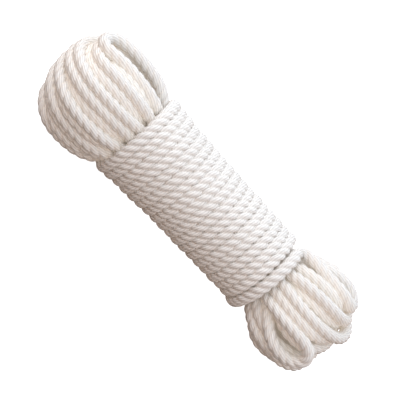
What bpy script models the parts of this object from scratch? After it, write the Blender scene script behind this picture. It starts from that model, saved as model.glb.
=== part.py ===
"""Coiled dock line: one length of three-strand rope made up into a hank.

The rope runs to and fro in long loops, and its last part is wound round their middle. Every loop and
every turn of the wrap is an object of its own, and each meets the next face to face, as one rope would.

Frame: +X along the hank from the head to the fan end, +Z up, origin on the floor under its middle.
Units: metres.
"""

from dataclasses import dataclass
from math import cos, pi, sin

import bpy
import numpy as np

# The rope
ROPE_DIAMETER = 0.008
TURN_GAP = 0.0004
ROPE_COLOUR = (0.86, 0.83, 0.78, 1.0)
ROPE_ROUGHNESS = 0.55

# The loops, as they lie in rings under the wrap: outer ring, middle ring, core
RING_LOOPS = (9, 6, 2)

# How much deeper and shorter each ring's loops lie in the ends than the outer ring's, in turns' pitches
RING_NEST = (0.0, 0.42, 1.5)
RING_INSET = (0.0, 0.4, 1.1)

# How much later each inner ring opens than the ring outside it
RING_LAG = 0.5

# The wrap
CLOSE_TURNS = 18
LOCKING_GAP = 0.0040
LOCKING_GAP_TURNS = 0.55
WRAP_FLARE = 0.0045
WRAP_START = -0.02
WRAP_END = 0.46
LEAD_PULL = 0.028
TURN_SIDES = 14

# The head, the end with the long eye; its rounding is for the upper and the lower loops
HEAD_LEG = 0.042
HEAD_REACH = 0.0810
HEAD_EYE = 0.0060
HEAD_SWELL = 0.0120
HEAD_RISE = 0.0140
HEAD_DROP = 0.0165
HEAD_ROUNDING = (0.0130, 0.0130)
HEAD_BALL = 0.22
HEAD_OPENING = 3.4

# The fan, the end with the fingers
FAN_LEG = 0.036
FAN_REACH = 0.0715
FAN_EYE = 0.0060
FAN_SWELL = 0.0120
FAN_RISE = 0.0125
FAN_DROP = 0.0165
FAN_ROUNDING = (0.0260, 0.0060)
FAN_BALL = 0.22
FAN_OPENING = 1.9

# The small loop that lies open at the front of the fan, and its twin behind
SMALL_LOOP = 7
SMALL_LOOP_REACH = 0.060
SMALL_LOOP_SPREAD = 0.0080

# The looseness of a hand-made hank
HEAD_LOOSENESS = 0.0014
FAN_LOOSENESS = 0.0018
END_GAP = 0.0020
HAND = 5

# The tucked end
TUCK_BEND = 0.022
TUCK_SAG = 0.0015
TUCK_LENGTH = 0.046
TUCK_RISE = 0.020

# How finely routes are worked out and drawn
ROUTE_STEP = 0.004
SETTLE_ROUNDS = 240
SETTLE_SMOOTHING = 0.25
DRAWING_SLACK = 0.0009
TURN_STEPS = 32
JOIN_STEPS = 6
LEG_POINTS = 15
BEND_POINTS = 23
CURVE_POINTS = 24
TIGHTEST_BEND = 0.021

PITCH = ROPE_DIAMETER + TURN_GAP
END_PITCH = ROPE_DIAMETER + END_GAP
RING_RADII = (3 * PITCH, 2 * PITCH, PITCH)
WRAP_RADIUS = RING_RADII[0] + PITCH
WRAP_LENGTH = (CLOSE_TURNS + 1) * PITCH + LOCKING_GAP
FRONT, BACK = -1, 1


@dataclass(frozen=True)
class End:
    """One end of the hank, measured from the edge of the wrap and from the hank's axis."""

    edge: float
    way: int
    leg: float
    reach: float
    eye: float
    swell: float
    rise: float
    drop: float
    rounding: tuple
    ball: float
    opening: float
    looseness: float


HEAD = End(-WRAP_LENGTH / 2, -1, HEAD_LEG, HEAD_REACH, HEAD_EYE, HEAD_SWELL, HEAD_RISE, HEAD_DROP,
           HEAD_ROUNDING, HEAD_BALL, HEAD_OPENING, HEAD_LOOSENESS)
FAN = End(WRAP_LENGTH / 2, 1, FAN_LEG, FAN_REACH, FAN_EYE, FAN_SWELL, FAN_RISE, FAN_DROP,
          FAN_ROUNDING, FAN_BALL, FAN_OPENING, FAN_LOOSENESS)
AXIS_HEIGHT = RING_RADII[0] + max(HEAD_DROP, FAN_DROP) + ROPE_DIAMETER / 2
FLOOR = ROPE_DIAMETER / 2 - AXIS_HEIGHT


def ease(share):
    """A smooth start and stop between 0 and 1."""
    return share * share * (3 - 2 * share)


def wrap_radius(x):
    """The wrap's radius at x: it flares a little towards the head."""
    share = np.clip((FAN.edge - x) / WRAP_LENGTH, 0, 1)
    return WRAP_RADIUS + WRAP_FLARE * share ** 3


def wrap_point(turn):
    """The wrap's centre line after a number of turns from the top, down the front first."""
    gap = LOCKING_GAP * ease(np.clip((turn - 0.5) / LOCKING_GAP_TURNS, 0, 1))
    x = FAN.edge - PITCH / 2 - (turn - WRAP_START) * PITCH - gap
    angle = pi / 2 + 2 * pi * turn
    radius = wrap_radius(x) / cos(pi / TURN_SIDES)
    return np.array([x, radius * cos(angle), radius * sin(angle)])


def loop_slots():
    """The loops' places under the wrap, from the bottom up: ring, and share of the way to the top."""
    slots = [(ring, (i + 0.5) / count) for ring, count in enumerate(RING_LOOPS) for i in range(count)]
    return sorted(slots, key=lambda slot: (slot[1], slot[0]))


def opened_shares(slots):
    """Where each loop lies in the opened ends: the two outer rings share one layer, evenly spaced."""
    layer = [slot for slot in slots if slot[0] < 2]
    return [(layer.index(slot) + 0.5) / len(layer) if slot in layer else slot[1] for slot in slots]


def neck_place(slot, side, x):
    """A leg's place (y, z) under the wrap at x."""
    ring, share = slot
    radius = RING_RADII[ring] * (wrap_radius(x) - PITCH) / RING_RADII[0]
    return np.array([side * radius * sin(pi * share), -radius * cos(pi * share)])


def opened_place(slot, share, side, end):
    """A leg's place (y, z) where an end is widest."""
    nest = RING_NEST[slot[0]] * PITCH
    width = RING_RADII[0] + end.swell - nest
    height = RING_RADII[0] + (end.rise if share > 0.5 else end.drop) - nest
    return np.array([side * (end.eye + width * sin(pi * share)), -height * cos(pi * share)])


def leg(end, slot, side, place):
    """One leg's way from under the wrap to its place where the end is widest."""
    share = np.linspace(0, 1, LEG_POINTS)[:, None]
    spread = (1 - (1 - share) ** end.opening) ** (1 + RING_LAG * slot[0])
    neck = neck_place(slot, side, end.edge)
    return np.hstack([end.leg * share, neck + (place - neck) * spread])


def bight(end, slots, sides, opened, reach):
    """One loop's way out of the wrap, round the end and back in."""
    out, home = (leg(end, *each) for each in zip(slots, sides, opened))
    angle = np.linspace(0, pi, BEND_POINTS + 2)[1:-1, None]
    across = 0.5 * (1 + np.cos(angle))
    turned = opened[0] * across + opened[1] * (1 - across)
    turned[:, 1:] *= 1 - end.ball * np.sin(angle) ** 2
    turn = np.hstack([end.leg + (reach - end.leg) * np.sin(angle), turned])
    route = np.concatenate([out, turn, home[::-1]])
    route[:, 0] = end.edge + end.way * route[:, 0]
    return route


def bight_reach(end, slots, opened):
    """How far a loop reaches: less for inner loops, and less at the top and bottom."""
    height = RING_RADII[0] + max(end.rise, end.drop)
    level = (opened[0][1] + opened[1][1]) / (2 * height)
    inset = sum(RING_INSET[slot[0]] for slot in slots) / len(slots) * PITCH
    upper, lower = end.rounding
    return end.reach - (upper if level > 0 else lower) * level ** 2 - inset


def head_bights(slots, shares, chance):
    """The loops at the head, each from its front leg to its back leg, but the small loop's from the back."""
    bights = []
    for number, (slot, share) in enumerate(zip(slots, shares)):
        sides = (BACK, FRONT) if number == SMALL_LOOP else (FRONT, BACK)
        slack = chance.normal(0, HEAD.looseness, 3)
        opened = [opened_place(slot, share, side, HEAD) + (side * slack[0], slack[1]) for side in sides]
        reach = bight_reach(HEAD, [slot], opened) + slack[2]
        bights.append(bight(HEAD, (slot, slot), sides, opened, reach))
    return bights


def fan_bights(slots, shares, chance):
    """The loops at the fan, each from one loop's leg to the next loop's, and the last on to the wrap."""
    bights = []
    for number, slot in enumerate(slots):
        following = min(number + 1, len(slots) - 1)
        sides = {SMALL_LOOP - 1: (BACK, BACK), SMALL_LOOP: (FRONT, FRONT)}.get(number, (BACK, FRONT))
        pair = (number, following)
        opened = [
            opened_place(slots[i], shares[i], side, FAN) + chance.normal(0, FAN.looseness, 2)
            for i, side in zip(pair, sides)
        ]
        if number == following:
            opened[1] = np.array([-FAN.eye, RING_RADII[0] + FAN.rise])
        reach = bight_reach(FAN, [slots[i] for i in pair], opened) + chance.normal(0, 2 * FAN.looseness)
        if sides[0] == sides[1]:
            reach = SMALL_LOOP_REACH
            opened = [opened[0] - (0, SMALL_LOOP_SPREAD), opened[1] + (0, SMALL_LOOP_SPREAD)]
        bights.append(bight(FAN, [slots[i] for i in pair], sides, opened, reach))
    return bights


def hermite(start, leave, stop, arrive):
    """A smooth curve between two places with given directions of travel."""
    t = np.linspace(0, 1, CURVE_POINTS)[:, None]
    return (
        (2 * t ** 3 - 3 * t ** 2 + 1) * start + (t ** 3 - 2 * t ** 2 + t) * leave
        + (3 * t ** 2 - 2 * t ** 3) * stop + (t ** 3 - t ** 2) * arrive
    )


def wrap_direction(turn):
    """The way the wrap runs after a number of turns."""
    ahead = wrap_point(turn + 0.01) - wrap_point(turn - 0.01)
    return ahead / np.linalg.norm(ahead)


def lead_into_wrap(last_fan_bight):
    """The last fan loop, carried from the top of the fan over into the locking turn."""
    turned = last_fan_bight[: LEG_POINTS + BEND_POINTS]
    leave = np.array([-LEAD_PULL, 0, 0])
    arrive = LEAD_PULL * wrap_direction(WRAP_START)
    lead = hermite(turned[-1], leave, wrap_point(WRAP_START), arrive)
    return np.concatenate([turned, lead[1:]])


def tucked_end():
    """The rope's end, from under the wrap up into the eye of the head."""
    turn = CLOSE_TURNS + WRAP_END
    low = -wrap_radius(HEAD.edge) - TUCK_SAG
    bend = np.array([HEAD.edge - TUCK_BEND, 0, low])
    stop = np.array([HEAD.edge - TUCK_LENGTH, 0, low + TUCK_RISE])
    ahead = np.array([-TUCK_BEND, 0, 0])
    out = hermite(wrap_point(turn), TUCK_BEND * wrap_direction(turn), bend, ahead)
    rise = hermite(bend, ahead, stop, np.array([-TUCK_BEND, 0, TUCK_BEND]))
    return np.concatenate([out, rise[1:]])


def resampled(route, step):
    """The route again, with points a step apart."""
    length = np.concatenate([[0], np.cumsum(np.linalg.norm(np.diff(route, axis=0), axis=1))])
    places = np.linspace(0, length[-1], int(length[-1] / step) + 1)
    return np.column_stack([np.interp(places, length, route[:, axis]) for axis in range(3)])


def pushes(places, others, apart):
    """The mean push on each place away from the others that lie too near."""
    between = places[:, None, :] - others[None, :, :]
    distance = np.maximum(np.linalg.norm(between, axis=2), 1e-6)
    near = (distance < END_PITCH) & apart
    strength = np.where(near, (END_PITCH - distance) / distance, 0)
    return (between * strength[:, :, None]).sum(axis=1) / np.maximum(near.sum(axis=1), 1)[:, None]


def settled(routes, obstacles):
    """Lay the loops of one end clear of each other, of the wrap and of the floor, without kinks."""
    routes = [resampled(route, ROUTE_STEP) for route in routes]
    counts = [len(route) for route in routes]
    home = np.concatenate(routes)
    owner = np.repeat(np.arange(len(routes)), counts)
    order = np.arange(len(home))
    held = np.zeros(len(home), bool)
    held[np.cumsum(counts) - 1] = True
    held[np.cumsum(counts) - counts] = True
    neighbours = np.abs(order[:, None] - order[None, :]) <= TIGHTEST_BEND / ROUTE_STEP
    apart = (owner[:, None] != owner[None, :]) | ~neighbours
    shift = np.zeros_like(home)
    for _ in range(SETTLE_ROUNDS):
        place = home + shift
        shift += 0.5 * pushes(place, place, apart) + pushes(place, obstacles, True)
        mean = 0.5 * (np.roll(shift, 1, axis=0) + np.roll(shift, -1, axis=0))
        shift += SETTLE_SMOOTHING * (mean - shift)
        shift[held] = 0
        shift[:, 2] = np.maximum(shift[:, 2], FLOOR - home[:, 2])
    return np.split(home + shift, np.cumsum(counts)[:-1])


def thinned(route):
    """The route with only the points that keep it within the drawing slack."""
    along = route[-1] - route[0]
    share = np.clip((route - route[0]) @ along / (along @ along), 0, 1)
    off = np.linalg.norm(route - route[0] - share[:, None] * along, axis=1)
    worst = int(np.argmax(off))
    if off[worst] < DRAWING_SLACK:
        return [route[0], route[-1]]
    return thinned(route[: worst + 1])[:-1] + thinned(route[worst:])


def rope_route():
    """The whole rope as one chain of points, with each piece's name and the link where it begins."""
    chance = np.random.default_rng(HAND)
    slots = loop_slots()
    shares = opened_shares(slots)
    tail = tucked_end()
    steps = np.arange(WRAP_START, CLOSE_TURNS + WRAP_END, 1 / TURN_STEPS)
    turns = np.array([wrap_point(turn) for turn in steps])
    near_head = np.concatenate([turns[-2 * TURN_STEPS:], tail[JOIN_STEPS:]])
    heads = settled(head_bights(slots, shares, chance), near_head)
    fans = fan_bights(slots, shares, chance)
    fans[-1] = lead_into_wrap(fans[-1])
    fans = settled(fans, turns[JOIN_STEPS: 2 * TURN_STEPS])

    chain = []
    starts = []
    for number, slot in enumerate(slots):
        sides = (BACK, FRONT) if number == SMALL_LOOP else (FRONT, BACK)
        for x in (FAN.edge / 3, HEAD.edge / 3):
            chain.append((x, *neck_place(slot, sides[0], x)))
        starts.append((f"loop_{number + 1:02d}", len(chain) - 2))
        chain += thinned(heads[number])
        for x in (HEAD.edge / 3, FAN.edge / 3):
            chain.append((x, *neck_place(slot, sides[1], x)))
        chain += thinned(fans[number])
    corner = 1 / TURN_SIDES
    for number in range(CLOSE_TURNS + 1):
        name = f"wrap_turn_{number:02d}" if number else "locking_turn"
        starts.append(("tucked_end" if number == CLOSE_TURNS else name, len(chain) - 1))
        first = WRAP_START + number
        last = min(first + 1, CLOSE_TURNS + WRAP_END) + corner / 2
        chain += [wrap_point(turn) for turn in np.arange(first + corner, last, corner)]
    chain += thinned(tail)[1:]
    chain = np.array(chain)
    low, high = chain.min(axis=0), chain.max(axis=0)
    return chain - (*(low + high)[:2] / 2, low[2] - FLOOR), starts


def pieces(chain, starts):
    """Cut the chain in the middle of each starting link, with the gap between the two faces."""
    cuts = []
    for _, link in starts:
        middle = 0.5 * (chain[link] + chain[link + 1])
        along = chain[link + 1] - chain[link]
        cuts.append((middle, along / np.linalg.norm(along) * TURN_GAP / 2))
    for number, (name, link) in enumerate(starts):
        begin = [cuts[number][0] + cuts[number][1]]
        if number + 1 < len(starts):
            yield name, begin + list(chain[link + 1: starts[number + 1][1] + 1]) + [
                cuts[number + 1][0] - cuts[number + 1][1]
            ]
        else:
            yield name, begin + list(chain[link + 1:])


def rope_material(name):
    """White rope with a dull sheen."""
    material = bpy.data.materials.new(f"{name}_rope")
    material.use_nodes = True
    shader = material.node_tree.nodes["Principled BSDF"]
    shader.inputs["Base Color"].default_value = ROPE_COLOUR
    shader.inputs["Roughness"].default_value = ROPE_ROUGHNESS
    shader.inputs["Metallic"].default_value = 0.0
    return material


def rope_piece(name, points, collection, origin):
    """One stretch of rope as a round tube with closed ends."""
    curve = bpy.data.curves.new(name, "CURVE")
    curve.dimensions = "3D"
    curve.bevel_depth = ROPE_DIAMETER / 2
    curve.bevel_resolution = 2
    curve.use_fill_caps = True
    spline = curve.splines.new("POLY")
    spline.points.add(len(points) - 1)
    for target, point in zip(spline.points, points):
        target.co = (*point, 1.0)
    curve.materials.append(rope_material(name))
    piece = bpy.data.objects.new(name, curve)
    piece.parent = origin
    collection.objects.link(piece)


def main():
    """Clear the scene and lay the rope piece by piece."""
    for item in list(bpy.data.objects):
        bpy.data.objects.remove(item)
    collection = bpy.data.collections.new("coiled_dock_line")
    bpy.context.scene.collection.children.link(collection)
    origin = bpy.data.objects.new("hank_axis", None)
    origin.location = (0.0, 0.0, AXIS_HEIGHT)
    collection.objects.link(origin)
    for name, points in pieces(*rope_route()):
        rope_piece(name, points, collection, origin)


main()
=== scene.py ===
"""Coiled dock line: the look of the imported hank.

One continuous three-strand rope follows the route of the CAD hank: to and fro in long loops, then round their
middle in a close wrap. It is laid strand by strand, dressed as white synthetic fibre, and lies on a pale
floor under a soft light from above. Units are metres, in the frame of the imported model.
"""

import logging
from dataclasses import dataclass, field
from enum import IntEnum
from math import atan2, cos, pi, radians, sin
from typing import Any, ClassVar

import bpy
import numpy as np
from mathutils import Matrix, Vector
from mathutils.bvhtree import BVHTree


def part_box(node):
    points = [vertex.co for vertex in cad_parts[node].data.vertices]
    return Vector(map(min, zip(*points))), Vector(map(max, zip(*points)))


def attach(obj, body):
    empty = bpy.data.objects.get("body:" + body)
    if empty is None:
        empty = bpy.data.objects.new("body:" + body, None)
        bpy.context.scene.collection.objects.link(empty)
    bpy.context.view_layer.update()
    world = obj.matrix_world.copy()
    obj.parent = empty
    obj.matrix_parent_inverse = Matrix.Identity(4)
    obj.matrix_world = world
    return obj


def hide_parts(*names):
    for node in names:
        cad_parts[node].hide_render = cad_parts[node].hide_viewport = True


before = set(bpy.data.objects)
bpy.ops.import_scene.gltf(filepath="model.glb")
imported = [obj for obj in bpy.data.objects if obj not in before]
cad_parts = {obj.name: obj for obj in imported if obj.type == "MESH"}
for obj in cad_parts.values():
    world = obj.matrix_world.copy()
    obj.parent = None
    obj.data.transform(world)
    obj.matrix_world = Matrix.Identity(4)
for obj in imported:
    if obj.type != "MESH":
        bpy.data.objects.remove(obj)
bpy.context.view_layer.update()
log = logging.getLogger("dock_line")

Points = np.ndarray
Slot = tuple[int, float]
Colour = tuple[float, float, float, float]

SMOOTHING_REACH = 3
SMALLEST_DISTANCE = 1e-6


class Side(IntEnum):
    """The side of the hank that a leg lies on, as a factor of +Y."""

    FRONT = -1
    BACK = 1


class Socket:
    """A node's output that takes part in Python expressions."""

    def __init__(self, shader: "Shader", link: bpy.types.NodeSocket) -> None:
        """Wrap one output of a node in that shader's tree."""
        self.shader = shader
        self.link = link

    def maths(self, operation: str, *values: Any) -> "Socket":
        """Add one Math node.

        Args:
            operation: the Math node's operation.
            values: its inputs, numbers or sockets, in order.

        Returns:
            The node's output.
        """
        return self.shader.make("ShaderNodeMath", {"operation": operation}, dict(enumerate(values)))

    def __add__(self, other: Any) -> "Socket":
        """self + other."""
        return self.maths("ADD", self, other)

    __radd__ = __add__

    def __sub__(self, other: Any) -> "Socket":
        """self - other."""
        return self.maths("SUBTRACT", self, other)

    def __rsub__(self, other: Any) -> "Socket":
        """other - self."""
        return self.maths("SUBTRACT", other, self)

    def __mul__(self, other: Any) -> "Socket":
        """self * other."""
        return self.maths("MULTIPLY", self, other)

    __rmul__ = __mul__

    def __pow__(self, other: Any) -> "Socket":
        """self ** other."""
        return self.maths("POWER", self, other)

    def fraction(self) -> "Socket":
        """The part after the decimal point."""
        return self.maths("FRACT", self)


class Shader:
    """A node tree of a material or of the world, written as expressions.

    The colour sockets of a Mix node go by number, because its other sockets share their names.
    """

    MIX_SHARE, MIX_FIRST, MIX_SECOND, MIX_RESULT = 0, 6, 7, 2
    NOISE_ROUGHNESS = 0.55

    def __init__(self, tree: bpy.types.NodeTree) -> None:
        """Start with that tree, emptied."""
        self.tree = tree
        self.tree.nodes.clear()

    @classmethod
    def of_material(cls, name: str) -> tuple["Shader", bpy.types.Material]:
        """Start a new material and its tree."""
        material = bpy.data.materials.new(name)
        material.use_nodes = True
        return cls(material.node_tree), material

    def make(self, kind: str, settings: dict[str, Any], inputs: dict[Any, Any], output: Any = 0) -> Socket:
        """Add one node.

        Args:
            kind: the node's type.
            settings: its properties, set first.
            inputs: values or sockets for its inputs, by name or number.
            output: the name or number of the output that is wanted.

        Returns:
            That output.
        """
        node = self.tree.nodes.new(kind)
        for key, value in settings.items():
            setattr(node, key, value)
        for key, value in inputs.items():
            if isinstance(value, Socket):
                self.tree.links.new(value.link, node.inputs[key])
            else:
                node.inputs[key].default_value = value
        return Socket(self, node.outputs[output])

    def blend(self, share: Any, first: Any, second: Any) -> Socket:
        """Mix two colours, with share 0 for the first and 1 for the second."""
        settings = {"data_type": "RGBA", "blend_type": "MIX"}
        inputs = {self.MIX_SHARE: share, self.MIX_FIRST: first, self.MIX_SECOND: second}
        return self.make("ShaderNodeMix", settings, inputs, self.MIX_RESULT)

    def shade(self, amount: Any, colour: Any) -> Socket:
        """Multiply a colour by an amount."""
        return self.make("ShaderNodeVectorMath", {"operation": "SCALE"}, {"Vector": colour, "Scale": amount})

    def part(self, vector: Socket, axis: str) -> Socket:
        """One coordinate of a vector."""
        return self.make("ShaderNodeSeparateXYZ", {}, {"Vector": vector}, axis)

    def attribute(self, name: str) -> Socket:
        """A number that the mesh carries at its points."""
        return self.make("ShaderNodeAttribute", {"attribute_name": name}, {}, "Fac")

    def noise(self, vector: Socket, scale: float, detail: float) -> Socket:
        """Soft noise between 0 and 1 over a vector."""
        inputs = {"Vector": vector, "Scale": scale, "Detail": detail, "Roughness": self.NOISE_ROUGHNESS}
        return self.make("ShaderNodeTexNoise", {}, inputs, "Fac")

    def finish(self, surface: Socket, kind: str) -> None:
        """Send a shader to the tree's output, a node of that type."""
        node = self.tree.nodes.new(kind)
        self.tree.links.new(surface.link, node.inputs["Surface"])


@dataclass(frozen=True)
class RopeFinish:
    """White laid synthetic rope: silky yarns, a little warmer and darker down in the lay from dirt and
    painted shade.

    A painted warm tint and a painted glow keep the hollows between the turns pale, most where the rope lies
    slack: they stand in for light that comes through the translucent fibres.
    """

    crest: Colour = (0.934, 0.918, 0.906, 1.0)
    # Darker, warmer colour down in the lay grooves between the strands: some dirt, and painted shade in the
    # creases.
    groove: Colour = (0.85, 0.79, 0.735, 1.0)
    # A painted warm tint in the hollows between the turns, where other rope stands over the surface.
    buried: Colour = (0.95, 0.885, 0.800, 1.0)
    sealed: Colour = (0.70, 0.60, 0.44, 1.0)
    # A painted glow in those hollows: its colour and strength, and how the glow and the tint spread over the
    # hollows and are kept less in the tight wrap.
    through: tuple[float, float, float] = (0.95, 0.83, 0.70)
    painted_glow_strength: float = 0.125
    painted_light_tight_share: float = 0.42
    painted_light_spread: float = 0.8
    groove_share: float = 0.55
    slack_groove_share: float = 0.75
    buried_share: float = 0.80
    patch_shade: float = 0.06
    patch_scale: float = 28.0
    patch_detail: float = 2.0
    # Painted shade in the valleys between the yarns.
    painted_yarn_shade: float = 0.22
    yarns: int = 5
    yarn_slant: float = 0.85
    # Streaks along the fibres: their own tone, and lighter ones as painted glints.
    fibre_tone_and_glint: float = 0.16
    fibre_streak: tuple[float, float] = (2.5, 6.0)
    fibre_detail: float = 3.0
    roughness: float = 0.46
    groove_roughness: float = 0.16
    fibre_roughness: float = 0.12
    sealed_gloss: float = 0.2
    specular: float = 0.45
    sheen: float = 0.25
    sheen_roughness: float = 0.4
    yarn_relief: float = 0.6
    fibre_relief: float = 0.5
    bump_depth: float = 0.0005
    bump_strength: float = 1.0

    def material(self) -> bpy.types.Material:
        """Build the rope's material.

        Returns:
            The material, for a mesh with the laid rope's map and attributes.
        """
        shader, material = Shader.of_material("white_laid_rope")
        lay_map = shader.make("ShaderNodeUVMap", {"uv_map": LaidRope.LAY_MAP}, {})
        strand, turns = (shader.part(lay_map, axis) for axis in "XY")
        place = shader.make("ShaderNodeTexCoord", {}, {}, "Object")
        marks = (LaidRope.SEALED, LaidRope.BURIED, LaidRope.SLACK)
        sealed, buried, slack = (shader.attribute(mark) for mark in marks)

        across = strand.fraction() * 2 - 1
        groove = across * across
        yarn = (strand + turns * (LaidRope.STRANDS * self.yarn_slant)) * self.yarns
        ridge = yarn.fraction() * 2 - 1
        ridge = 1 - ridge * ridge
        beside, along = self.fibre_streak
        streak = shader.make("ShaderNodeCombineXYZ", {}, {"X": yarn * beside, "Y": turns * along})
        fibre = shader.noise(streak, 1.0, self.fibre_detail)
        patch = shader.noise(place, self.patch_scale, self.patch_detail)

        # Blend towards the groove colour between the strands, more where the rope lies slack: some dirt, and
        # painted shade in the creases.
        groove_share = self.groove_share + (self.slack_groove_share - self.groove_share) * slack
        colour = shader.blend(groove * groove * groove_share, self.crest, self.groove)
        # Painted light in the hollows between the turns, the deeper the more, less in the tight wrap: a warm
        # tint of the colour here, and the glow below.
        through = buried ** self.painted_light_spread * (self.painted_light_tight_share + (1 - self.painted_light_tight_share) * slack)
        colour = shader.blend(through * self.buried_share, colour, self.buried)
        # Painted shade in the valleys between the yarns, and random patches of the rope's own tone.
        lightness = (1 - self.painted_yarn_shade * (1 - ridge)) * (1 + self.patch_shade * (patch - 0.5) * 2)
        # Streaks along the fibres, partly the fibres' own tone and partly painted glints.
        lightness = lightness * (1 - self.fibre_tone_and_glint / 2 + self.fibre_tone_and_glint * fibre)
        colour = shader.blend(sealed, shader.shade(lightness, colour), self.sealed)
        roughness = self.roughness + self.groove_roughness * groove
        roughness = roughness + self.fibre_roughness * (fibre - 0.5) - self.sealed_gloss * sealed
        bump = shader.make("ShaderNodeBump", {}, {
            "Strength": self.bump_strength,
            "Distance": self.bump_depth,
            "Height": (ridge * self.yarn_relief + fibre * self.fibre_relief) * (1 - sealed),
        })
        surface = shader.make("ShaderNodeBsdfPrincipled", {}, {
            "Base Color": colour,
            "Roughness": roughness,
            "Normal": bump,
            # The rope glows in its hollows though it is no lamp: a painted glow that stands in for light
            # through the fibres.
            "Emission Color": shader.shade(through, self.through),
            "Emission Strength": self.painted_glow_strength,
            "Sheen Weight": self.sheen,
            "Sheen Roughness": self.sheen_roughness,
            "Specular IOR Level": self.specular,
        }, "BSDF")
        shader.finish(surface, "ShaderNodeOutputMaterial")
        return material


@dataclass(frozen=True)
class FloorFinish:
    """The plain pale studio floor and wall, which glow as a light table does."""

    colour: Colour = (0.95, 0.95, 0.95, 1.0)
    glow: float = 0.98
    roughness: float = 0.7
    specular: float = 0.2
    grain_scale: float = 6.0
    grain_detail: float = 2.0
    grain_shade: float = 0.03

    def material(self) -> bpy.types.Material:
        """Build the material of the floor and the wall."""
        shader, material = Shader.of_material("pale_floor")
        place = shader.make("ShaderNodeTexCoord", {}, {}, "Object")
        grain = shader.noise(place, self.grain_scale, self.grain_detail)
        colour = shader.shade(1 - self.grain_shade / 2 + self.grain_shade * grain, self.colour[:3])
        surface = shader.make("ShaderNodeBsdfPrincipled", {}, {
            "Base Color": colour,
            "Roughness": self.roughness,
            "Specular IOR Level": self.specular,
            "Emission Color": self.colour,
            "Emission Strength": self.glow,
        }, "BSDF")
        shader.finish(surface, "ShaderNodeOutputMaterial")
        return material


def eased(share: Any) -> Any:
    """A smooth start and stop between 0 and 1."""
    return share * share * (3 - 2 * share)


def hermite(start: Points, leave: Points, stop: Points, arrive: Points, points: int = 24) -> Points:
    """A smooth curve between two places.

    Args:
        start, stop: the two places.
        leave, arrive: the way of travel at each, longer for a straighter run.
        points: how many points the curve has.

    Returns:
        The curve's points.
    """
    t = np.linspace(0, 1, points)[:, None]
    return (
        (2 * t ** 3 - 3 * t ** 2 + 1) * start + (t ** 3 - 2 * t ** 2 + t) * leave
        + (3 * t ** 2 - 2 * t ** 3) * stop + (t ** 3 - t ** 2) * arrive
    )


def resampled(route: Points, step: float) -> Points:
    """The route again, with points a step apart."""
    length = np.concatenate([[0], np.cumsum(np.linalg.norm(np.diff(route, axis=0), axis=1))])
    places = np.linspace(0, length[-1], int(length[-1] / step) + 1)
    return np.column_stack([np.interp(places, length, route[:, axis]) for axis in range(3)])


def smoothed(route: Points, width: float) -> Points:
    """Round off a route's corners.

    Args:
        route: evenly spaced points.
        width: the rounding's width, in points.

    Returns:
        As many points, with both ends where they were.
    """
    reach = int(SMOOTHING_REACH * width)
    weight = np.exp(-0.5 * (np.arange(-reach, reach + 1) / width) ** 2)
    weight /= weight.sum()
    before = 2 * route[0] - route[reach:0:-1]
    after = 2 * route[-1] - route[-2: -reach - 2: -1]
    padded = np.concatenate([before, route, after])
    return np.column_stack([np.convolve(row, weight, "valid") for row in padded.T])


def evened(values: Points, width: float) -> Points:
    """Smooth a row of single values as smoothed() does a route."""
    return smoothed(values[:, None], width)[:, 0]


def blurred(values: Points, step: int, axis: int) -> Points:
    """Mix each value evenly with those a step before and after it along an axis."""
    return 0.5 * values + 0.25 * (np.roll(values, step, axis) + np.roll(values, -step, axis))


def wandered(route: Points, amount: float, span: int, hand: int) -> Points:
    """Let a route wander a little, as rope laid by hand does.

    Args:
        route: evenly spaced points.
        amount: the usual size of the wander.
        span: its length, in points.
        hand: the number that its chance starts from.

    Returns:
        The wandering route.
    """
    drift = smoothed(np.random.default_rng(hand).normal(0, 1, route.shape), span)
    return route + amount * drift / drift.std()


@dataclass(frozen=True)
class RopeSize:
    """The rope's own sizes."""

    diameter: float = 0.008
    turn_gap: float = 0.0004
    end_gap: float = 0.0005

    @property
    def pitch(self) -> float:
        """From one turn to the next under and in the wrap."""
        return self.diameter + self.turn_gap

    @property
    def end_pitch(self) -> float:
        """From one loop to the next in the opened ends."""
        return self.diameter + self.end_gap


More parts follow.
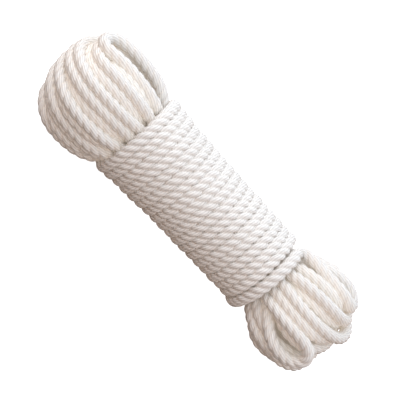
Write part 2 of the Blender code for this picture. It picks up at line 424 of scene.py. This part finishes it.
@dataclass(frozen=True)
class Wrap:
    """The close turns round the middle of the hank, and the locking turn set apart at the fan end.

    Attributes:
        rope: the rope's sizes.
        inner_radius: the radius to the outer ring of loops under the wrap.
        close_turns: how many turns lie close together.
        locking_gap: the gap beside the locking turn.
        locking_gap_start, locking_gap_turns: after how many turns the gap opens, and within how many more.
        locking_sag, locking_lean: how far the locking turn hangs out and leans to the head at its bottom.
        flare, flare_power: how much wider the wrap is at the head end, and how late it widens.
        start, end: where the rope enters the wrap and leaves it, in turns past the top.
        stand_off: a factor on the wrap's radius that keeps it clear of the loops.
        nearby: how many turns before and after a place its direction is taken from.
    """

    rope: RopeSize
    inner_radius: float
    close_turns: int = 18
    locking_gap: float = 0.0028
    locking_gap_start: float = 0.5
    locking_gap_turns: float = 0.55
    locking_sag: float = 0.0022
    locking_lean: float = 0.0012
    flare: float = 0.0045
    flare_power: int = 3
    start: float = -0.02
    end: float = 0.46
    stand_off: float = 1.010
    nearby: float = 0.01

    @property
    def length(self) -> float:
        """From edge to edge along the hank."""
        return (self.close_turns + 1) * self.rope.pitch + self.locking_gap

    def radius(self, x: Any) -> Any:
        """The centre line's radius at x: the wrap flares a little towards the head."""
        share = np.clip((self.length / 2 - x) / self.length, 0, 1)
        return self.inner_radius + self.rope.pitch + self.flare * share ** self.flare_power

    def points(self, turns: Any) -> Points:
        """The centre line after numbers of turns from the top, down the front first.

        Args:
            turns: an array of turns.

        Returns:
            One point for each.
        """
        turns = np.asarray(turns, float)
        past = np.clip((turns - self.locking_gap_start) / self.locking_gap_turns, 0, 1)
        sag = np.sin(pi * np.clip(turns, 0, 1)) ** 2
        x = self.length / 2 - self.rope.pitch / 2 - (turns - self.start) * self.rope.pitch
        x = x - self.locking_gap * eased(past) - self.locking_lean * sag
        angle = pi / 2 + 2 * pi * turns
        radius = self.radius(x) * self.stand_off + self.locking_sag * sag
        return np.stack([x, radius * np.cos(angle), radius * np.sin(angle)], axis=-1)

    def direction(self, turn: float) -> Points:
        """The way the wrap runs after a number of turns."""
        ahead = self.points(turn + self.nearby) - self.points(turn - self.nearby)
        return ahead / np.linalg.norm(ahead)

    def last(self) -> float:
        """The number of turns after which the rope leaves the wrap."""
        return self.close_turns + self.end


@dataclass(frozen=True)
class HankEnd:
    """One end of the hank, measured from the edge of the wrap and from the hank's axis.

    Attributes:
        way: its direction along X.
        leg: how far from the wrap it is widest.
        reach: how far from the wrap its loops go.
        eye: half the space that is left between the two sides.
        swell, rise, drop: how much wider, higher and lower it is than the loops under the wrap.
        rounding: how much less its top and bottom loops reach.
        ball: how much its loops draw together in height towards their turn.
        opening: how quickly its legs part outside the wrap.
        looseness: the usual spread of its loops about their places.
    """

    way: int
    leg: float
    reach: float
    eye: float
    swell: float
    rise: float
    drop: float
    rounding: tuple[float, float]
    ball: float
    opening: float
    looseness: float


@dataclass
class Hank:
    """The rope's route through the whole hank: the route of the CAD, with both ends packed closer.

    Attributes:
        ring_loops: how many loops each ring under the wrap has, from the outside in.
        ring_nest, ring_inset, ring_lag: how much deeper, shorter and later an inner ring's loops open.
        small_loop: the loop that runs the other way round, between two small loops of the fan.
        eye_opening: how far each leg of the head's top loop is moved out, and up or down.
        hand, wander_hand: the numbers that the chance of the loops and of the wander start from.
        settle_rounds, settle_smoothing: how long and how softly the loops of an end are pushed apart.
        tightest_bend: the length of rope within which one point may lie close to another.
        open_rings: how many rings share the outside of an opened end.
    """

    rope: RopeSize = RopeSize()
    ring_loops: tuple[int, ...] = (9, 6, 2)
    ring_nest: tuple[float, ...] = (0.0, 0.1, 0.7)
    ring_inset: tuple[float, ...] = (0.0, 0.4, 1.1)
    ring_lag: float = 0.05
    open_rings: int = 2
    head: HankEnd = HankEnd(
        way=-1, leg=0.042, reach=0.0820, eye=0.0060, swell=0.0120, rise=0.0140, drop=0.0165,
        rounding=(0.0130, 0.0130), ball=0.22, opening=3.4, looseness=0.0014,
    )
    fan: HankEnd = HankEnd(
        way=1, leg=0.036, reach=0.0727, eye=0.0060, swell=0.0120, rise=0.0125, drop=0.0165,
        rounding=(0.0260, 0.0060), ball=0.22, opening=1.9, looseness=0.0018,
    )
    small_loop: int = 7
    small_loop_reach: float = 0.060
    small_loop_spread: float = 0.0080
    eye_opening: tuple[float, float] = (0.0030, 0.0010)
    slack_reach: float = 0.010
    turn_slant: float = 0.3
    lead_pull: float = 0.028
    tuck_bend: float = 0.022
    tuck_sag: float = 0.0015
    tuck_length: float = 0.046
    tuck_rise: float = 0.020
    hand: int = 5
    step: float = 0.004
    settle_rounds: int = 240
    settle_smoothing: float = 0.25
    tightest_bend: float = 0.021
    leg_points: int = 15
    run_points: int = 9
    bend_points: int = 23
    turn_steps: int = 32
    join_steps: int = 6
    middle_turn: int = 9
    point_step: float = 0.0017
    wander: float = 0.00018
    wander_span: int = 10
    wander_hand: int = 3
    corner_smoothing: float = 2.4
    press_smoothing: float = 6.0
    wrap: Wrap = field(init=False)
    slots: list[Slot] = field(init=False)
    shares: list[float] = field(init=False)

    def __post_init__(self) -> None:
        """Work out the loops' places under the wrap and in the opened ends."""
        self.wrap = Wrap(self.rope, self.ring_radius(0))
        slots = [
            (ring, (i + 0.5) / count) for ring, count in enumerate(self.ring_loops) for i in range(count)
        ]
        self.slots = sorted(slots, key=lambda slot: (slot[1], slot[0]))
        layer = [slot for slot in self.slots if slot[0] < self.open_rings]
        self.shares = [
            (layer.index(slot) + 0.5) / len(layer) if slot in layer else slot[1] for slot in self.slots
        ]

    def ring_radius(self, ring: int) -> float:
        """The radius of one ring of loops under the wrap."""
        return (len(self.ring_loops) - ring) * self.rope.pitch

    def edge(self, end: HankEnd) -> float:
        """Where that end leaves the wrap."""
        return end.way * self.wrap.length / 2

    def floor(self) -> float:
        """The centre line's lowest height, from the hank's axis."""
        return -self.ring_radius(0) - max(self.head.drop, self.fan.drop)

    def neck(self, slot: Slot, side: Side, x: Any) -> Points:
        """A leg's place (y, z) under the wrap at x."""
        ring, share = slot
        radius = self.ring_radius(ring) * (self.wrap.radius(x) - self.rope.pitch) / self.ring_radius(0)
        return np.stack([side * radius * sin(pi * share), -radius * cos(pi * share)], axis=-1)

    def opened(self, number: int, side: Side, end: HankEnd) -> Points:
        """A leg's place (y, z) where an end is widest."""
        share = self.shares[number]
        nest = self.ring_nest[self.slots[number][0]] * self.rope.pitch
        width = self.ring_radius(0) + end.swell - nest
        height = self.ring_radius(0) + (end.rise if share > 0.5 else end.drop) - nest
        return np.array([side * (end.eye + width * sin(pi * share)), -height * cos(pi * share)])

    def opening_leg(self, end: HankEnd, number: int, side: Side, place: Points) -> Points:
        """One leg's way from under the wrap to its place where the end is widest.

        Args:
            end: the end of the hank.
            number: the loop that the leg belongs to.
            side: the side that it lies on.
            place: its place (y, z) where the end is widest.

        Returns:
            The leg's points, with x from the wrap's edge.
        """
        slot = self.slots[number]
        share = np.linspace(0, 1, self.leg_points)[:, None]
        spread = (1 - (1 - share) ** end.opening) ** (1 + self.ring_lag * slot[0])
        neck = self.neck(slot, side, self.edge(end))
        return np.hstack([end.leg * share, neck + (place - neck) * spread])

    def bight(
        self,
        end: HankEnd,
        pair: tuple[int, int],
        sides: tuple[Side, Side],
        opened: list[Points],
        reach: float,
    ) -> Points:
        """One loop's way out of the wrap, round the end and back in.

        Args:
            end: the end of the hank.
            pair: the loops that its two legs belong to.
            sides: the sides that they lie on.
            opened: their places (y, z) where the end is widest.
            reach: how far from the wrap it goes.

        Returns:
            The loop's points.
        """
        out, home = (self.opening_leg(end, *each) for each in zip(pair, sides, opened))
        span = reach - end.leg
        bend = min(0.5 * float(np.linalg.norm(opened[0] - opened[1])), span)
        run = np.linspace(0, span - bend, self.run_points)[1:]
        angle = np.linspace(0, pi, self.bend_points + 2)[1:-1]
        ahead = np.concatenate([run, span - bend + bend * np.sin(angle), run[::-1]])[:, None]
        across = np.concatenate([np.ones_like(run), 0.5 * (1 + np.cos(angle)), np.zeros_like(run)])[:, None]
        turned = opened[0] * across + opened[1] * (1 - across)
        turned[:, 1:] *= 1 - end.ball * (ahead / span) ** 2
        route = np.concatenate([out, np.hstack([end.leg + ahead, turned]), home[::-1]])
        route[:, 0] = self.edge(end) + end.way * route[:, 0]
        return route

    def reach(self, end: HankEnd, numbers: tuple[int, ...], opened: list[Points]) -> float:
        """How far a loop reaches: less for inner loops, and less at the top and bottom of the end."""
        height = self.ring_radius(0) + max(end.rise, end.drop)
        level = (opened[0][1] + opened[1][1]) / (2 * height)
        inset = sum(self.ring_inset[self.slots[i][0]] for i in numbers) / len(numbers) * self.rope.pitch
        upper, lower = end.rounding
        return end.reach - (upper if level > 0 else lower) * level ** 2 - inset

    def sides(self, number: int) -> tuple[Side, Side]:
        """The sides on which a loop goes to the head and comes back from it."""
        return (Side.BACK, Side.FRONT) if number == self.small_loop else (Side.FRONT, Side.BACK)

    def head_bights(self, chance: np.random.Generator) -> list[Points]:
        """The loops at the head, each from one leg of a loop to the other."""
        bights = []
        for number in range(len(self.slots)):
            sides = self.sides(number)
            slack = chance.normal(0, self.head.looseness, 3)
            out, up = self.eye_opening if number == len(self.slots) - 1 else (0.0, 0.0)
            opened = [
                self.opened(number, side, self.head) + (side * (slack[0] + out), slack[1] + side * up)
                for side in sides
            ]
            reach = self.reach(self.head, (number,), opened) + slack[2]
            bights.append(self.bight(self.head, (number, number), sides, opened, reach))
        return bights

    def fan_bights(self, chance: np.random.Generator) -> list[Points]:
        """The loops at the fan, each from one loop's leg to the next; the last one leads to the wrap."""
        bights = []
        last = len(self.slots) - 1
        turned = {
            self.small_loop - 1: (Side.BACK, Side.BACK),
            self.small_loop: (Side.FRONT, Side.FRONT),
        }
        for number in range(last + 1):
            pair = (number, min(number + 1, last))
            sides = turned.get(number, (Side.BACK, Side.FRONT))
            opened = [
                self.opened(i, side, self.fan) + chance.normal(0, self.fan.looseness, 2)
                for i, side in zip(pair, sides)
            ]
            if number == last:
                opened[1] = np.array([-self.fan.eye, self.ring_radius(0) + self.fan.rise])
            reach = self.reach(self.fan, pair, opened) + chance.normal(0, 2 * self.fan.looseness)
            if sides[0] == sides[1]:
                reach = self.small_loop_reach
                opened = [opened[0] - (0, self.small_loop_spread), opened[1] + (0, self.small_loop_spread)]
            bights.append(self.bight(self.fan, pair, sides, opened, reach))
        return bights

    def lead_into_wrap(self, bight: Points) -> Points:
        """The last fan loop, carried from the top of the fan over into the locking turn."""
        turned = bight[: -self.leg_points]
        leave = np.array([-self.lead_pull, 0, 0])
        arrive = self.lead_pull * self.wrap.direction(self.wrap.start)
        lead = hermite(turned[-1], leave, self.wrap.points(self.wrap.start), arrive)
        return np.concatenate([turned, lead[1:]])

    def tucked_end(self) -> Points:
        """The rope's end, from under the wrap up into the eye of the head."""
        edge = self.edge(self.head)
        turn = self.wrap.last()
        low = -self.wrap.radius(edge) - self.tuck_sag
        bend = np.array([edge - self.tuck_bend, 0, low])
        stop = np.array([edge - self.tuck_length, 0, low + self.tuck_rise])
        ahead = np.array([-self.tuck_bend, 0, 0])
        out = hermite(self.wrap.points(turn), self.tuck_bend * self.wrap.direction(turn), bend, ahead)
        rise = hermite(bend, ahead, stop, np.array([-self.tuck_bend, 0, self.tuck_bend]))
        return np.concatenate([out, rise[1:]])

    def pushes(self, places: Points, others: Points, apart: Any) -> Points:
        """The mean push on each place away from the others that lie too near."""
        between = places[:, None, :] - others[None, :, :]
        distance = np.maximum(np.linalg.norm(between, axis=2), SMALLEST_DISTANCE)
        near = (distance < self.rope.end_pitch) & apart
        strength = np.where(near, (self.rope.end_pitch - distance) / distance, 0)
        return (between * strength[:, :, None]).sum(axis=1) / np.maximum(near.sum(axis=1), 1)[:, None]

    def settled(self, routes: list[Points], obstacles: Points) -> list[Points]:
        """Lay the loops of one end clear of each other, of the wrap and of the floor.

        Args:
            routes: the loops as first laid.
            obstacles: points of rope that stay where they are.

        Returns:
            The loops as they settle.
        """
        routes = [resampled(route, self.step) for route in routes]
        counts = [len(route) for route in routes]
        home = np.concatenate(routes)
        owner = np.repeat(np.arange(len(routes)), counts)
        order = np.arange(len(home))
        held = np.zeros(len(home), bool)
        held[np.cumsum(counts) - 1] = True
        held[np.cumsum(counts) - counts] = True
        neighbours = np.abs(order[:, None] - order[None, :]) <= self.tightest_bend / self.step
        apart = (owner[:, None] != owner[None, :]) | ~neighbours
        shift = np.zeros_like(home)
        for _ in range(self.settle_rounds):
            place = home + shift
            shift += 0.5 * self.pushes(place, place, apart) + self.pushes(place, obstacles, True)
            mean = 0.5 * (np.roll(shift, 1, axis=0) + np.roll(shift, -1, axis=0))
            shift += self.settle_smoothing * (mean - shift)
            shift[held] = 0
            shift[:, 2] = np.maximum(shift[:, 2], self.floor() - home[:, 2])
        return np.split(home + shift, np.cumsum(counts)[:-1])

    def leg(self, slot: Slot, side: Side, start: float, stop: float) -> Points:
        """A leg's straight run under the wrap, without its two ends."""
        x = np.linspace(start, stop, int(abs(stop - start) / self.step) + 1)[1:-1]
        return np.column_stack([x, self.neck(slot, side, x)])

    def route(self) -> Points:
        """Lay the whole rope.

        Returns:
            Its centre line from end to end, about the hank's axis.
        """
        chance = np.random.default_rng(self.hand)
        tail = self.tucked_end()
        turns = self.wrap.points(np.arange(self.wrap.start, self.wrap.last(), 1 / self.turn_steps))
        near_head = np.concatenate([turns[-2 * self.turn_steps:], tail[self.join_steps:]])
        heads = self.settled(self.head_bights(chance), near_head)
        fans = self.fan_bights(chance)
        fans[-1] = self.lead_into_wrap(fans[-1])
        fans = self.settled(fans, turns[self.join_steps: 2 * self.turn_steps])
        head, fan = self.edge(self.head), self.edge(self.fan)
        route = []
        for number, slot in enumerate(self.slots):
            out, home = self.sides(number)
            route += [self.leg(slot, out, fan if number else 0.0, head), heads[number]]
            route += [self.leg(slot, home, head, fan), fans[number]]
        return np.concatenate([*route, turns[1:], tail])

    def slack(self, route: Points) -> Points:
        """How slack the rope lies at each point of its route: 0 in the wrap, 1 out in the ends."""
        past = np.abs(route[:, 0]) - self.wrap.length / 2
        return eased(np.clip(past / self.slack_reach, 0, 1))

    def pressed(self, route: Points) -> Points:
        """How much the turns press on each other at each point of the route: 1 in the wrap, 0 elsewhere."""
        ahead = np.abs(np.gradient(route[:, 0])) / np.linalg.norm(np.gradient(route, axis=0), axis=1)
        return evened((1 - self.slack(route)) * (ahead < self.turn_slant), self.press_smoothing)

    def axis_place(self) -> Points:
        """Where the CAD has the hank's axis and the middle of its wrap, read off its middle turn."""
        low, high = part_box("wrap_turn_09")
        turns = np.linspace(self.middle_turn, self.middle_turn + 1, self.turn_steps + 1)
        laid = self.wrap.points(turns + self.wrap.start)
        middle = 0.5 * (laid.min(axis=0) + laid.max(axis=0))
        return 0.5 * (np.array(low) + np.array(high)) - middle * (1, 0, 0)


@dataclass
class LaidRope:
    """Three strands twisted right-handed along a centre line.

    Attributes:
        centres: the centre line.
        slack, pressed: how slack the rope lies at each centre, and how much it is pressed there.
        finish: its finish.
        radius: to the strands' crests.
        slack_swell, slack_rounding: how much slack rope swells, and how far its grooves fill.
        strand_share: a strand's radius as a share of the rope's.
        press: how much wider pressed rope is along the hank.
        look_rings, look_start, look_angle, look_reach: every how many rings the surface looks for rope over
            it, from how far above, how far aside and how far away.
        unevenness, unevenness_span: how much the rope's thickness varies, and over how many centres.
        seal_length, sealed_share, blunt: the sealed length at each end, its radius as a share of the rope's,
            and how blunt its tip is.
        map_rows, map_margin, row_margin: the rows of the bake's map, and their margins.
    """

    LAY_MAP: ClassVar[str] = "LayMap"
    BAKE_MAP: ClassVar[str] = "OFBake"
    SEALED: ClassVar[str] = "sealed"
    BURIED: ClassVar[str] = "buried"
    SLACK: ClassVar[str] = "slack"
    STRANDS: ClassVar[int] = 3
    LOOKS: ClassVar[int] = 6

    centres: Points
    slack: Points
    pressed: Points
    finish: RopeFinish
    radius: float = 0.0046
    slack_swell: float = 0.22
    slack_rounding: float = 0.42
    strand_share: float = 0.61
    press: float = 0.22
    look_rings: int = 2
    look_start: float = 0.0006
    look_angle: float = 0.8
    look_reach: float = 0.03
    strand_points: int = 9
    lay_length: float = 0.023
    unevenness: float = 0.02
    unevenness_span: float = 6.0
    hand: int = 11
    seal_length: float = 0.004
    sealed_share: float = 0.92
    blunt: float = 0.02
    map_rows: int = 26
    map_margin: float = 0.002
    row_margin: float = 0.04

    def outline(self) -> tuple[Points, Points]:
        """The cross-section of three strands pressed together.

        Returns:
            The angle and the radius of each point of one ring.
        """
        half = pi / self.STRANDS
        local = np.linspace(-half, half, self.strand_points + 1)[:-1]
        offset = 1 - self.strand_share
        reach = offset * np.cos(local) + np.sqrt(self.strand_share ** 2 - (offset * np.sin(local)) ** 2)
        angles = np.concatenate([local + 2 * half * k for k in range(self.STRANDS)])
        return angles, self.radius * np.tile(reach, self.STRANDS)

    def frames(self) -> tuple[Points, Points]:
        """Two directions across the rope at each centre, carried along it without twist."""
        ahead = np.gradient(self.centres, axis=0)
        ahead /= np.linalg.norm(ahead, axis=1)[:, None]
        side = np.cross(ahead[0], (0.0, 0.0, 1.0))
        sides = np.empty_like(ahead)
        for i, way in enumerate(ahead):
            side = side - (side @ way) * way
            side = side / np.linalg.norm(side)
            sides[i] = side
        return sides, np.cross(ahead, sides)

    def lengths(self) -> Points:
        """The length of rope up to each centre."""
        return np.concatenate([[0], np.cumsum(np.linalg.norm(np.diff(self.centres, axis=0), axis=1))])

    def quads(self, rings: int, around: int) -> Points:
        """The faces between rings of points, as four point numbers each."""
        index = np.arange(rings * around).reshape(rings, around)
        turned = np.roll(index, -1, axis=1)
        return np.stack([index[:-1], turned[:-1], turned[1:], index[1:]], axis=-1).reshape(-1, 4)

    def buried(self, points: Points, ways: Points) -> Points:
        """How much rope stands over each point of the surface, found by looking out from it.

        Args:
            points: the surface's points, ring by ring.
            ways: the outward direction of each point.

        Returns:
            From 0 out in the open to 1 deep between the turns, ring by ring.
        """
        faces = self.quads(*points.shape[:2])
        tree = BVHTree.FromPolygons(points.reshape(-1, 3).tolist(), faces.tolist())
        along = np.gradient(points, axis=0)[:: self.look_rings]
        ways = ways[:: self.look_rings]
        places = (points[:: self.look_rings] + self.look_start * ways).reshape(-1, 3)
        along = along / np.linalg.norm(along, axis=2)[:, :, None]
        across = np.cross(ways, along)
        hidden = np.zeros(len(places))
        for turn in np.arange(self.LOOKS) * 2 * pi / self.LOOKS:
            aside = along * cos(turn) + across * sin(turn)
            looks = ways * cos(self.look_angle) + aside * sin(self.look_angle)
            for i, (place, look) in enumerate(zip(places.tolist(), looks.reshape(-1, 3).tolist())):
                hidden[i] += tree.ray_cast(place, look, self.look_reach)[0] is not None
        depth = hidden.reshape(-1, points.shape[1]) / self.LOOKS
        depth = np.repeat(depth, self.look_rings, axis=0)[: len(points)]
        return blurred(blurred(depth, 1, axis=1), self.look_rings, axis=0)

    def rings(self) -> tuple[Points, Points, Points]:
        """Every ring of the rope's surface.

        Returns:
            The points, ring by ring, and from 0 to 1 how far each ring is sealed and how deep each point is
            buried.
        """
        chance = np.random.default_rng(self.hand)
        length = self.lengths()
        angles, reach = self.outline()
        sides, ups = self.frames()
        from_end = np.minimum(length, length[-1] - length)
        sealed = np.clip(1 - from_end / self.seal_length, 0, 1)
        dome = np.sqrt(1 - (1 - np.clip(from_end / self.radius, self.blunt, 1)) ** 2)
        thick = evened(chance.normal(0, 1, len(length)), self.unevenness_span)
        swell = 1 + self.unevenness * thick / thick.std() + self.slack_swell * self.slack
        turn = angles[None, :] + (2 * pi / self.lay_length * length)[:, None]
        round_reach = self.sealed_share * self.radius
        rounded = self.slack_rounding * self.slack[:, None]
        across = (reach + (reach.mean() - reach) * rounded) * swell[:, None]
        across = across * (1 - sealed[:, None]) + round_reach * sealed[:, None]
        across = across * dome[:, None]
        offsets = (
            (across * np.cos(turn))[:, :, None] * sides[:, None, :]
            + (across * np.sin(turn))[:, :, None] * ups[:, None, :]
        )
        offsets[:, :, 0] *= 1 + self.press * self.pressed[:, None]
        points = self.centres[:, None, :] + offsets
        return points, sealed, self.buried(points, offsets / np.linalg.norm(offsets, axis=2)[:, :, None])

    def mesh(self) -> bpy.types.Object:
        """Build the rope as one closed mesh, with its maps.

        Returns:
            The rope's object.
        """
        points, sealed, buried = self.rings()
        rings, around = points.shape[:2]
        vertices = points.reshape(-1, 3)
        vertices[:, 2] = np.maximum(vertices[:, 2], 0.0)
        caps = [list(range(around))[::-1], list(range((rings - 1) * around, rings * around))]
        data = bpy.data.meshes.new("rope")
        data.from_pydata(vertices.tolist(), [], self.quads(rings, around).tolist() + caps)
        data.polygons.foreach_set("use_smooth", np.ones(len(data.polygons), bool))
        self.map_surface(data, rings, around)
        by_ring = {self.SEALED: sealed[:, None], self.SLACK: self.slack[:, None], self.BURIED: buried}
        for name, values in by_ring.items():
            flat = np.broadcast_to(values, buried.shape).astype(np.float32).ravel()
            data.attributes.new(name, "FLOAT", "POINT").data.foreach_set("value", flat)
        data.materials.append(self.finish.material())
        data.update()
        rope = bpy.data.objects.new("three_strand_rope", data)
        bpy.context.scene.collection.objects.link(rope)
        return rope

    def map_surface(self, data: bpy.types.Mesh, rings: int, around: int) -> None:
        """Give the mesh its two maps: the lay for the finish, and rows side by side for the bake.

        Args:
            data: the rope's mesh, its quads in ring order and then its two caps.
            rings: how many rings it has.
            around: how many points each ring has.
        """
        length = self.lengths()
        ring, point = (grid.ravel()[:, None] for grid in np.mgrid[: rings - 1, :around])
        along = ring + np.array([0, 0, 1, 1])
        about = point + np.array([0, 1, 1, 0])
        lay = np.stack([about * (self.STRANDS / around), length[along] / self.lay_length], axis=-1)
        row_rings = -(-(rings - 1) // self.map_rows)
        row = ring // row_rings
        bake = np.stack([
            self.map_margin + (1 - 2 * self.map_margin) * (along - row * row_rings) / row_rings,
            (row + self.row_margin + (1 - 2 * self.row_margin) * about / around) / self.map_rows,
        ], axis=-1)
        for name, flat in ((self.LAY_MAP, lay), (self.BAKE_MAP, bake)):
            corners = np.concatenate([flat.reshape(-1, 2), np.zeros((2 * around, 2))])
            data.uv_layers.new(name=name).data.foreach_set("uv", corners.astype(np.float32).ravel())


@dataclass
class Studio:
    """The pale floor and wall, the soft light and the camera.

    Attributes:
        azimuth, elevation, distance: where the camera stands, in degrees and metres.
        picture_width, picture_pixels: the picture's width at the hank, and in pixels.
        hank_pixel, hank_slope: where the hank's middle lies in the picture, and its slope in degrees.
        sensor_width: the camera's, in millimetres.
        sky, horizon, ground: the colours of the room's light from above, from the sides and from below.
        low_band, high_band: between which heights the ground's colour gives way, and the sky's takes over.
    """

    floor_finish: FloorFinish = FloorFinish()
    floor_size: float = 6.0
    wall_height: float = 3.0
    azimuth: float = -10.0
    elevation: float = 30.0
    distance: float = 1.30
    picture_width: float = 0.324
    picture_pixels: int = 400
    hank_pixel: tuple[float, float] = (204.6, 206.5)
    hank_slope: float = -47.0
    sensor_width: float = 36.0
    clip: tuple[float, float] = (0.05, 50.0)
    key_power: float = 9.0
    key_size: float = 1.5
    key_place: tuple[float, float, float] = (-1.1, 0.25, 1.1)
    sky: Colour = (0.96, 1.0, 1.05, 1.0)
    horizon: Colour = (0.68, 0.42, 0.275, 1.0)
    ground: Colour = (0.012, 0.008, 0.006, 1.0)
    low_band: tuple[float, float] = (-0.52, -0.16)
    high_band: tuple[float, float] = (-0.15, 0.45)
    world_strength: float = 1.07

    def camera(self, target: Vector) -> bpy.types.Object:
        """Place the camera so that the hank lies across the picture at its slope.

        Args:
            target: the middle of the hank.

        Returns:
            The camera.
        """
        turn, lift = radians(self.azimuth), radians(self.elevation)
        back = Vector((sin(turn) * cos(lift), -cos(turn) * cos(lift), sin(lift)))
        right = Vector((0, 0, 1)).cross(back).normalized()
        up = back.cross(right)
        hank = Vector((1, 0, 0))
        roll = atan2(hank.dot(up), hank.dot(right)) - radians(self.hank_slope)
        right, up = right * cos(roll) + up * sin(roll), up * cos(roll) - right * sin(roll)
        pixel = self.picture_width / self.picture_pixels
        middle = self.picture_pixels / 2
        aside, below = ((spot - middle) * pixel for spot in self.hank_pixel)
        aim = target - right * aside + up * below
        lens = bpy.data.cameras.new("camera")
        lens.sensor_width = self.sensor_width
        lens.lens = self.sensor_width * self.distance / self.picture_width
        lens.clip_start, lens.clip_end = self.clip
        camera = bpy.data.objects.new("camera", lens)
        place = Matrix((right, up, back)).transposed().to_4x4()
        place.translation = aim + back * self.distance
        camera.matrix_world = place
        bpy.context.scene.collection.objects.link(camera)
        bpy.context.scene.camera = camera
        return camera

    def staged(
        self, name: str, corners: list[tuple[float, ...]], faces: list[tuple[int, ...]]
    ) -> bpy.types.Object:
        """Make one pale piece of the stage, which throws no light on the rope.

        Args:
            name: the piece's name.
            corners: its points.
            faces: its faces, as numbers of points.

        Returns:
            The piece.
        """
        data = bpy.data.meshes.new(name)
        data.from_pydata(corners, [], faces)
        data.materials.append(self.floor_finish.material())
        piece = bpy.data.objects.new(name, data)
        piece.visible_diffuse = False
        piece.visible_glossy = False
        bpy.context.scene.collection.objects.link(piece)
        return piece

    def stage(self) -> list[bpy.types.Object]:
        """Lay the floor and stand a wall round it, which keeps no light out."""
        half = self.floor_size / 2
        corners = [(-half, -half, 0), (half, -half, 0), (half, half, 0), (-half, half, 0)]
        floor = self.staged("floor", corners, [(0, 1, 2, 3)])
        count = len(corners)
        around = [(x, y, z) for z in (0, self.wall_height) for x, y, _ in corners]
        sides = [(i, (i + 1) % count, (i + 1) % count + count, i + count) for i in range(count)]
        wall = self.staged("wall", around, sides)
        wall.visible_shadow = False
        return [floor, wall]

    def light(self) -> None:
        """Hang the soft light, set the room's own light and keep whites as they are."""
        lamp = bpy.data.lights.new("overhead_softbox", "AREA")
        lamp.shape = "SQUARE"
        lamp.size = self.key_size
        lamp.energy = self.key_power
        key = bpy.data.objects.new("overhead_softbox", lamp)
        key.location = self.key_place
        key.rotation_mode = "QUATERNION"
        key.rotation_quaternion = (-Vector(self.key_place)).to_track_quat("-Z", "Y")
        bpy.context.scene.collection.objects.link(key)
        world = bpy.data.worlds.new("room")
        world.use_nodes = True
        shader = Shader(world.node_tree)
        way = shader.make("ShaderNodeTexCoord", {}, {}, "Generated")
        height = shader.part(way, "Z")
        rising = {"interpolation_type": "SMOOTHSTEP"}
        low, high = (
            shader.make("ShaderNodeMapRange", rising, {"Value": height, "From Min": start, "From Max": stop})
            for start, stop in (self.low_band, self.high_band)
        )
        colour = shader.blend(high, shader.blend(low, self.ground, self.horizon), self.sky)
        light = shader.make("ShaderNodeBackground", {}, {"Color": colour, "Strength": self.world_strength})
        shader.finish(light, "ShaderNodeOutputWorld")
        bpy.context.scene.world = world
        bpy.context.scene.view_settings.view_transform = "Standard"


def main() -> None:
    """Set the camera, lay and dress the rope, then the stage, and report each piece."""
    logging.basicConfig(level=logging.INFO, format="%(name)s: %(message)s")
    hank = Hank()
    axis = hank.axis_place()
    studio = Studio()
    studio.camera(Vector(axis))
    log.info("camera set on the hank's axis at %s", np.round(axis, 4))

    route = resampled(hank.route(), hank.point_step)
    wandering = wandered(route, hank.wander, hank.wander_span, hank.wander_hand)
    centres = smoothed(wandering, hank.corner_smoothing) + axis
    laid = LaidRope(centres, hank.slack(route), hank.pressed(route), RopeFinish())
    rope = laid.mesh()
    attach(rope, "root")
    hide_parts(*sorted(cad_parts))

    for piece in studio.stage():
        log.info("%s set", piece.name)
    studio.light()
    log.info("light set")


if __name__ == "__main__":
    main()
